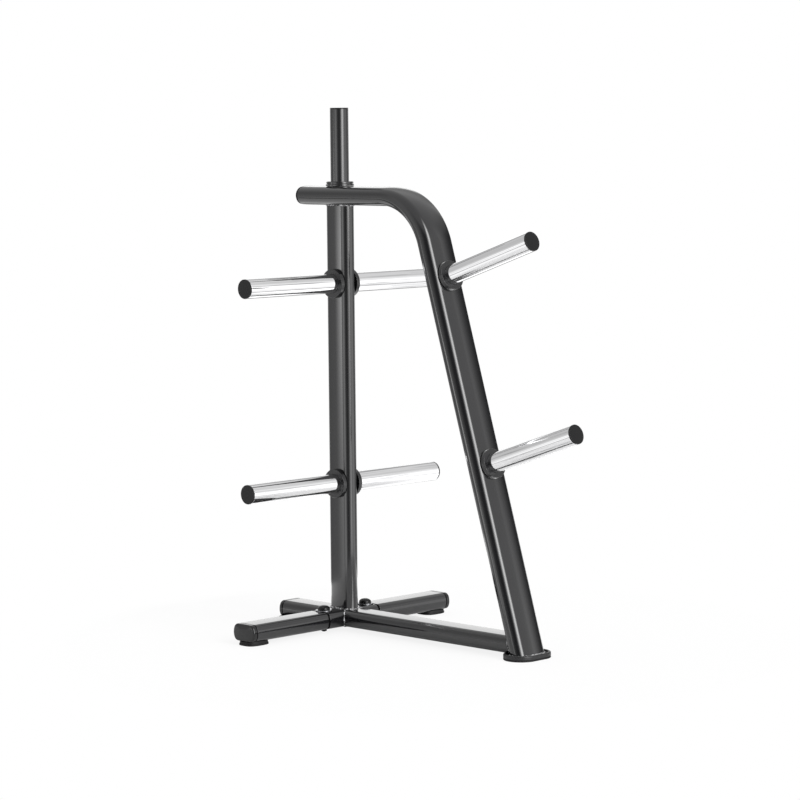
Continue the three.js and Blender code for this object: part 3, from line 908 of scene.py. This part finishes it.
stubStations, footStations = [60], [150, 250, 330]
for side, sign in (("front", -1), ("rear", 1)):

    def footPlace(across, up, along):
        return np.stack([across, sign * along, base["middle"] + up], 1)

    def stubStart(across, up):
        return sectionReach(baseTube, up) + gap

    stub = walledTube(baseTube, footPlace, stubStart, flatEnd(base["stubEnd"]), stubStations)
    addPiece(side + "_socket_stub", stub, paint, "frame_paint")
    ringStart = base["stubEnd"] + gap
    ringEnd = ringStart + base["ring"]
    sunk = sunkSection(baseTube, base["ringSunk"])
    ends = flatEnd(ringStart), flatEnd(ringEnd)
    jointRing = walledTube(sunk, footPlace, *ends, [], edge=base["ringEdge"], wall=base["ringWall"])
    addPiece(side + "_joint_ring", jointRing, sealRubber, "rubber")
    foot = walledTube(baseTube, footPlace, flatEnd(ringEnd + gap), flatEnd(base["footEnd"]), footStations)
    addPiece(side + "_foot_tube", foot, paint, "frame_paint")
    capPlace = facing((0, sign * base["reach"], base["middle"]), (1, 0, 0), (0, 0, 1), (0, -sign, 0))
    addPiece(side + "_foot_cap", placed(baseCap, capPlace), shinyPlastic, "black_plastic")
    padY = sign * (base["reach"] - padSizes["inset"] - padSizes["length"] / 2)
    addPiece(side + "_foot_pad", placed(makePad(), Matrix.Translation((0, padY, 0))), rubber, "rubber")
    boltY = sign * boltSizes["offset"]
    washerPlace = Matrix.Translation((0, boltY, 0))
    addPiece(side + "_bolt_washer", placed(boltWasher(), washerPlace), zinc, "zinc_steel")
    coverPlace = Matrix.Translation((0, boltY, boltSizes["coverLow"]))
    addPiece(side + "_bolt_cover", placed(boltCover(), coverPlace), plastic, "black_plastic")
print("feet made")

# Round caps with a plug, on the pegs and the spindle
plugCapSizes = {
    "plugEdge": 1,
    "plugRoot": 0.2,
    "lipEdge": 0.3,
    "rim": 3,
    "rimDip": 0.05,
}


def plugCap(owner, low, high):
    # owner is the piece's sizes. The cap's face sinks a little inside its rim.
    size = plugCapSizes
    radius, plugRadius, plugEnd = owner["radius"], owner["plugRadius"], low - owner["plug"]
    corners = [
        (0, plugEnd, 0),
        (plugRadius, plugEnd, size["plugEdge"]),
        (plugRadius, low, size["plugRoot"]),
        (radius, low, size["lipEdge"]),
        (radius, high, owner["capEdge"]),
        (radius - size["rim"], high - size["rimDip"], 0),
        (0, high - owner["capDip"], 0),
    ]
    return turned(rounded(corners, steps=5), closed=False)


# Pegs
pegSizes = {
    "radius": 25,
    "wall": 2.5,
    "sleeveEdges": (0.3, 0.4, 0.4, 0.3),
    "collar": 11,
    "collarRadius": 38,
    "collarBore": 25.3,
    "collarEdges": (0, 0.5, 1.1, 0.5),
    "slant": 0.6,  # how much of the collar follows the slant of the tube behind it
    "cap": 4,
    "capEdge": 1.1,
    "capDip": 0.25,
    "plug": 18,
    "plugRadius": 18.9,
}
postPegs = {"reach": 319.5, "heights": {"upper": 918, "lower": 390}}


def addPeg(name, matrix, reach, chrome, skew=0.0):
    size = pegSizes
    radius, collarTop, capLow = size["radius"], gap + size["collar"], reach - size["cap"]
    edges = size["collarEdges"]
    points, faces = roundTube(size["collarBore"], size["collarRadius"], gap, collarTop, edges, steps=6)
    back = points[:, 2] < gap + size["slant"]
    points[back, 2] -= points[back, 0] * math.tan(skew)
    addPiece(name + "_collar", placed((points, faces), matrix), collarPaint, "frame_paint")
    start = gap + radius * math.tan(skew)
    sleeve = roundTube(radius - size["wall"], radius, start, capLow - gap, size["sleeveEdges"])
    addPiece(name + "_sleeve", placed(sleeve, matrix), chrome, "chrome")
    addPiece(name + "_end_cap", placed(plugCap(size, capLow, reach), matrix), plastic, "black_plastic")


for side, sign in (("front", -1), ("rear", 1)):
    for level, height in postPegs["heights"].items():
        origin = (0, sign * postTube["depth"] / 2, height)
        pegPlace = facing(origin, (1, 0, 0), (0, 0, -sign), (0, sign, 0))
        addPeg(f"{side}_{level}_peg", pegPlace, postPegs["reach"], postChrome)

pegOut = np.array([math.cos(legPeg["tilt"]), 0, math.sin(legPeg["tilt"])])
pegDown = np.array([math.sin(legPeg["tilt"]), 0, -math.cos(legPeg["tilt"])])
pegSkew = legPeg["tilt"] - arch["lean"]
for level, distance in legPeg["places"].items():
    onLeg = np.array([arch["footX"], 0, 0]) + legUp * distance
    origin = onLeg + pegOut * archTube["depth"] / 2 / math.cos(pegSkew)
    pegPlace = facing(origin, pegDown, (0, 1, 0), pegOut)
    addPeg(f"leg_{level}_peg", pegPlace, legPeg["reach"], legChrome, pegSkew)
print("pegs made")

# Spindle
spindle = {
    "radius": 24,
    "wall": 3,
    "height": 204,
    "edges": (0.3, 0.4, 0.5, 0.3),
    "cap": 3,
    "capEdge": 0.9,
    "capDip": 0.2,
    "plug": 18,
    "plugRadius": 20.7,
    "flange": 37,
    "flangeHigh": 4.5,
    "groove": 34,
    "grooveHigh": 1.5,
    "ring": 35.5,
    "ringHigh": 5.4,
    "collarEdges": (0, 0.6, 0.9, 0.3, 0.3, 0.7, 1.4, 0.4),  # fillets, from its low inner corner on
}
radius, low = spindle["radius"], archTop + gap
flangeTop = low + spindle["flangeHigh"]
ringLow = flangeTop + spindle["grooveHigh"]
ringTop = ringLow + spindle["ringHigh"]
bore, flange, groove, ring = radius + gap, spindle["flange"], spindle["groove"], spindle["ring"]
radii = (bore, flange, flange, groove, groove, ring, ring, bore)
heights = (low, low, flangeTop, flangeTop, ringLow, ringLow, ringTop, ringTop)
collar = rounded(list(zip(radii, heights, spindle["collarEdges"])), closed=True, steps=5)
addPiece("spindle_collar", turned(collar), paint, "frame_paint")
spindleTop = archTop + spindle["height"]
capLow = spindleTop - spindle["cap"]
tube = roundTube(radius - spindle["wall"], radius, low, capLow - gap, spindle["edges"])
addPiece("spindle_tube", tube, paint, "frame_paint")
addPiece("spindle_cap", plugCap(spindle, capLow, spindleTop), plastic, "black_plastic")
print("spindle made")

# Nodes that keep their solids, mostly inside others
innerTubes = ["upper_cross_tube", "lower_cross_tube", "leg_upper_peg_core", "leg_lower_peg_core"]
innerTubes += ["front_spigot", "rear_spigot"]
fasteners = ["front_foot_bolt", "front_low_washer", "front_bolt_nut"]
fasteners += ["rear_foot_bolt", "rear_low_washer", "rear_bolt_nut"]
for nodes, material in ((innerTubes, paint), (fasteners, blackZinc)):
    for node in nodes:
        materials = bpy.data.objects[node].data.materials
        materials.clear()
        materials.append(material)

# Camera, fitted to points of the photograph. Its angles are in degrees.
view = {
    "azimuth": 45.06,
    "pitch": 5.44,
    "roll": -0.53,
    "aimAcross": 152.34,
    "aimHeight": 607.82,
    "distance": 7840.95,
    "focalPixels": 2970.57,
    "imagePixels": 800,
    "sensor": 36,
    "clipEnd": 100,
}
azimuth, pitch, roll = (math.radians(view[key]) for key in ("azimuth", "pitch", "roll"))
level = Vector((math.cos(azimuth), math.sin(azimuth), 0))
ahead = Vector((-level.y * math.cos(pitch), level.x * math.cos(pitch), -math.sin(pitch)))
upward = level.cross(ahead)
right = level * math.cos(roll) + upward * math.sin(roll)
up = -level * math.sin(roll) + upward * math.cos(roll)
aim = level * view["aimAcross"] + Vector((0, 0, view["aimHeight"]))
eye = aim - ahead * view["distance"]
camera = bpy.data.objects.new("camera", bpy.data.cameras.new("camera"))
bpy.context.scene.collection.objects.link(camera)
camera.data.sensor_width = view["sensor"]
camera.data.lens = view["focalPixels"] * view["sensor"] / view["imagePixels"]
camera.data.clip_end = view["clipEnd"]
camera.matrix_world = facing((eye + Vector((rowX, 0, 0))) / metre, right, up, -ahead)
bpy.context.scene.camera = camera
bpy.context.scene.view_settings.view_transform = "Standard"

# Floor, in metres: matt white near the object and plain white further out
# Straight to the camera it glows nearly white. Behind the object it glows brighter in reflections only, which
# is a painted reflection.
white = (1, 1, 1, 1)
floorLook = {
    "colour": "f1f1f1",
    "otherColour": "f5f5f5",
    "grainSize": 2.5,  # mm
    "radius": 1.08,
    "sides": 64,
    "fadeStart": 0.5,
    "fadeEnd": 1.05,
    "glow": 0.86,
    # sheen is a painted reflection: the floor behind the object glows this much brighter, in glossy rays only
    "sheen": 2.2,  # how bright the object mirrors the floor behind it
    "sheenFull": 0.4,  # how far out it is complete
    "sheenWay": (-0.707, 0.707, 0),  # away from the camera
}
floorMaterial, tree = newMaterial("matt_white_floor")
place = addNode(tree, "ShaderNodeTexCoord").outputs["Object"]
reach = addNode(tree, "ShaderNodeVectorMath", [(0, place)], operation="LENGTH")
fade = addNode(
    tree,
    "ShaderNodeMapRange",
    [("Value", reach.outputs["Value"])],
    interpolation_type="SMOOTHSTEP",
    inputs=fromRange(floorLook["fadeStart"], floorLook["fadeEnd"]),
)
grainScale = {"Scale": metre / floorLook["grainSize"], "Detail": 2}
grain = addNode(tree, "ShaderNodeTexNoise", [("Vector", place)], inputs=grainScale)
share = [(0, grain.outputs["Fac"])]
tint = addNode(tree, "ShaderNodeMix", share, data_type="RGBA", inputs=betweenColours(floorLook))
matt = addNode(tree, "ShaderNodeBsdfDiffuse", [("Color", tint.outputs[mixedColour])])
seen = addNode(tree, "ShaderNodeLightPath")
way = {1: floorLook["sheenWay"]}
behind = addNode(tree, "ShaderNodeVectorMath", [(0, place)], operation="DOT_PRODUCT", inputs=way)
farShare = [("Value", behind.outputs["Value"])]
farSide = addNode(tree, "ShaderNodeMapRange", farShare, inputs=fromRange(0, floorLook["sheenFull"]))
# In glossy rays the floor behind the object glows up to sheen times white, which is a painted reflection
mirrored = [(0, farSide.outputs[0]), (1, seen.outputs["Is Glossy Ray"])]
shine = addNode(tree, "ShaderNodeMath", mirrored, operation="MULTIPLY")
shining = [("Value", shine.outputs[0])]
brightness = addNode(tree, "ShaderNodeMapRange", shining, inputs=toRange(1, floorLook["sheen"]))
plain = addNode(tree, "ShaderNodeEmission", [("Strength", brightness.outputs[0])], inputs={"Color": white})
direct = [(0, seen.outputs["Is Camera Ray"])]
glow = addNode(tree, "ShaderNodeMath", direct, operation="MULTIPLY", inputs={1: floorLook["glow"]})
share = addNode(tree, "ShaderNodeMath", [(0, glow.outputs[0]), (1, fade.outputs[0])], operation="MAXIMUM")
layers = [(0, share.outputs[0]), (1, matt.outputs[0]), (2, plain.outputs[0])]
whole = addNode(tree, "ShaderNodeMixShader", layers)
addNode(tree, "ShaderNodeOutputMaterial", [("Surface", whole.outputs[0])])
floorMaterial.cycles.emission_sampling = "NONE"
floorMesh = bpy.data.meshes.new("floor")
angles = np.linspace(0, 2 * math.pi, floorLook["sides"], endpoint=False)
edge = floorLook["radius"] * np.column_stack([np.cos(angles), np.sin(angles), 0 * angles])
floorMesh.from_pydata(edge.tolist(), [], [list(range(len(edge)))])
floorMesh.materials.append(floorMaterial)
floor = bpy.data.objects.new("floor", floorMesh)
bpy.context.scene.collection.objects.link(floor)
floor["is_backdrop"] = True

# The studio as the photograph's reflections show it: brightness by direction round the object, in degrees
# from the camera's side towards its right, at about eye level, and then patches in the order given. A patch
# multiplies the light so far, adds to it or lies over it, by its amount, where all its fades meet. A fade
# gives what it follows, from where to where, and its values there, and ("angle", 42) is how far a direction
# lies from 42 degrees. A height is the upward share of a direction: 0 is level and 1 is straight up.
studio = {
    "turn": -45,
    "round": (
        (-180, 1.4), (-155, 1.25), (-140, 0.6), (-125, 0.35), (-110, 0.5), (-95, 0.75), (-79, 0.85),
        (-64, 1.2), (-50, 2.3), (-38, 2.2), (-25, 0.6), (-12, 0.25), (3, 0.2), (17, 0.5), (29, 4.5),
        (38, 7.8), (46, 7.4), (56, 3.0), (66, 1.3), (92, 1.15), (101, 0.75), (110, 0.45), (130, 0.33),
        (145, 1.0), (160, 1.35), (180, 1.4),
    ),
    "shifted": {
        # The ceiling comes lower over the lamp, and the skirting sinks towards the right
        "underLamp": ("height", "SUBTRACT", (("angle", 52), 12, 34, 0.2, 0)),
        "railHeight": ("height", "ADD", ("angle", 0, 60, 0, 0.11)),
        "fromRail": (("railHeight", -0.38), "SUBTRACT", ("angle", -110, -90, 0.035, 0)),
    },
    "patches": {
        "lampBelow": ("times", 0.45, [(("angle", 42), 15, 24, 1, 0), ("height", -0.04, -0.02, 1, 0)]),
        "postKey": (
            "plus",
            2.4,
            [
                ("angle", -92, -75, 0, 1),
                ("angle", -75, -69, 1, 0),
                ("height", -0.14, -0.03, 0.35, 1.75),
                ("height", -0.03, -0.01, 1, 0),
            ],
        ),
        "highKey": ("plus", 2.6, [(("angle", 50), 6, 16, 1, 0), ("height", 0.1, 0.15, 0, 1)]),
        "lowRight": (
            "times",
            1.6,
            [
                ("angle", 54, 66, 0, 1),
                ("angle", 100, 112, 1, 0),
                ("height", -0.2, -0.16, 0, 1),
                ("height", -0.03, -0.01, 1, 0),
            ],
        ),
        "brightRight": ("times", 1.3, [(("angle", 93), 10, 20, 1, 0), (("height", 0.13), 0.08, 0.14, 1, 0)]),
        "highRight": ("times", 0.78, [(("angle", 78), 12, 16, 1, 0), ("height", 0.15, 0.25, 0, 1)]),
        "left": (
            "over",
            ("angle", -80, -10, 0.95, 0.07),
            [("angle", 5, 12, 1, 0), ("angle", -95, -80, 0, 1), ("height", 0, 0.03, 0, 1)],
        ),
        "farLeft": (
            "over",
            0.62,
            [("angle", -95, -80, 1, 0), ("angle", -150, -140, 0, 1), ("height", 0.1, 0.2, 0, 1)],
        ),
        "doorway": (
            "over",
            0.06,
            [(("angle", 132), 16, 39, 1, 0), ("height", 0, 0.05, 0, 1), ("height", 0.32, 0.5, 1, 0)],
        ),
        "behindLow": ("over", 0.12, [(("angle", 0), 145, 160, 0, 1), ("height", 0.02, 0.07, 1, 0)]),
        "behindHigh": ("over", 0.4, [(("angle", 0), 140, 155, 0, 1), ("height", 0.25, 0.38, 0, 1)]),
        "ceiling": ("over", 0.8, [("underLamp", 0.44, 0.7, 0, 1)]),
        "floor": ("over", 1.2, [("height", -0.26, -0.17, 1, 0)]),
        "behindUnder": (
            "over",
            0.25,
            [(("angle", 0), 146, 156, 0, 1), ("height", -0.52, -0.42, 0, 1), ("height", -0.17, -0.1, 1, 0)],
        ),
        "skirting": ("over", 0.1, [("fromRail", 0.02, 0.045, 0.8, 0)]),
    },
}
world = bpy.data.worlds.new("studio")
world.use_nodes = True
tree = world.node_tree
tree.nodes.clear()
bpy.context.scene.world = world
direction = addNode(tree, "ShaderNodeTexCoord").outputs["Generated"]
axes = addNode(tree, "ShaderNodeSeparateXYZ", [(0, direction)])
levelAxes = [(0, axes.outputs["Y"]), (1, axes.outputs["X"])]
turn = addNode(tree, "ShaderNodeMath", levelAxes, operation="ARCTAN2").outputs[0]
degrees = addNode(tree, "ShaderNodeMath", [(0, turn)], operation="DEGREES").outputs[0]
fromCamera = {1: studio["turn"]}
moved = addNode(tree, "ShaderNodeMath", [(0, degrees)], operation="SUBTRACT", inputs=fromCamera).outputs[0]
angle = addNode(tree, "ShaderNodeMath", [(0, moved)], operation="WRAP", inputs={1: 180, 2: -180}).outputs[0]
share = addNode(tree, "ShaderNodeMapRange", [("Value", angle)], inputs=fromRange(-180, 180))
followed = {"angle": angle, "height": axes.outputs["Z"]}
brightest = max(value for _, value in studio["round"])
ramp = addNode(tree, "ShaderNodeValToRGB", [(0, share.outputs[0])])
ramp.color_ramp.interpolation = "LINEAR"
stops = ramp.color_ramp.elements
while len(stops) < len(studio["round"]):
    stops.new(0.5)
for stop, (degree, _) in zip(stops, studio["round"]):
    stop.position = (degree + 180) / 360
for stop, (_, value) in zip(stops, studio["round"]):
    stop.color = [value / brightest] * 3 + [1]
glowing = [(0, ramp.outputs["Color"])]
light = addNode(tree, "ShaderNodeMath", glowing, operation="MULTIPLY", inputs={1: brightest}).outputs[0]


def follow(what):
    # The socket of a quantity, or of its distance from a middle where one is given
    if isinstance(what, str):
        return followed[what]
    if isinstance(what, tuple):
        value = [(0, followed[what[0]])]
        apart = addNode(tree, "ShaderNodeMath", value, operation="SUBTRACT", inputs={1: what[1]})
        return addNode(tree, "ShaderNodeMath", [(0, apart.outputs[0])], operation="ABSOLUTE").outputs[0]
    return what


def faded(fades):
    # The product of all the fades
    product = None
    for what, low, high, start, end in fades:
        limits = fromRange(low, high) | toRange(start, end)
        value = [("Value", follow(what))]
        fade = addNode(tree, "ShaderNodeMapRange", value, interpolation_type="SMOOTHSTEP", inputs=limits)
        if product:
            pair = [(0, product), (1, fade.outputs[0])]
            fade = addNode(tree, "ShaderNodeMath", pair, operation="MULTIPLY")
        product = fade.outputs[0]
    return product


def patched(light, how, amount, fades):
    share = faded(fades)
    if how == "times":
        pair = [(0, light), (1, faded([(share, 0, 1, 1, amount)]))]
        return addNode(tree, "ShaderNodeMath", pair, operation="MULTIPLY").outputs[0]
    if how == "plus":
        terms = [(0, share), (2, light)]
        return addNode(tree, "ShaderNodeMath", terms, operation="MULTIPLY_ADD", inputs={1: amount}).outputs[0]
    layers, values = [(0, share), (2, light)], {}
    if isinstance(amount, tuple):
        layers.append((3, faded([amount])))
    else:
        values[3] = amount
    return addNode(tree, "ShaderNodeMix", layers, data_type="FLOAT", inputs=values).outputs[0]


for name, (what, operation, fade) in studio["shifted"].items():
    pair = [(0, follow(what)), (1, faded([fade]))]
    followed[name] = addNode(tree, "ShaderNodeMath", pair, operation=operation).outputs[0]
for how, amount, fades in studio["patches"].values():
    light = patched(light, how, amount, fades)
seen = addNode(tree, "ShaderNodeLightPath")
scene = addNode(tree, "ShaderNodeBackground", [("Strength", light)], inputs={"Color": white})
backdrop = addNode(tree, "ShaderNodeBackground", inputs={"Color": white, "Strength": 1})
layers = [(0, seen.outputs["Is Camera Ray"]), (1, scene.outputs[0]), (2, backdrop.outputs[0])]
both = addNode(tree, "ShaderNodeMixShader", layers)
addNode(tree, "ShaderNodeOutputWorld", [("Surface", both.outputs[0])])
print("floor, light and camera set")

low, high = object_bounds()
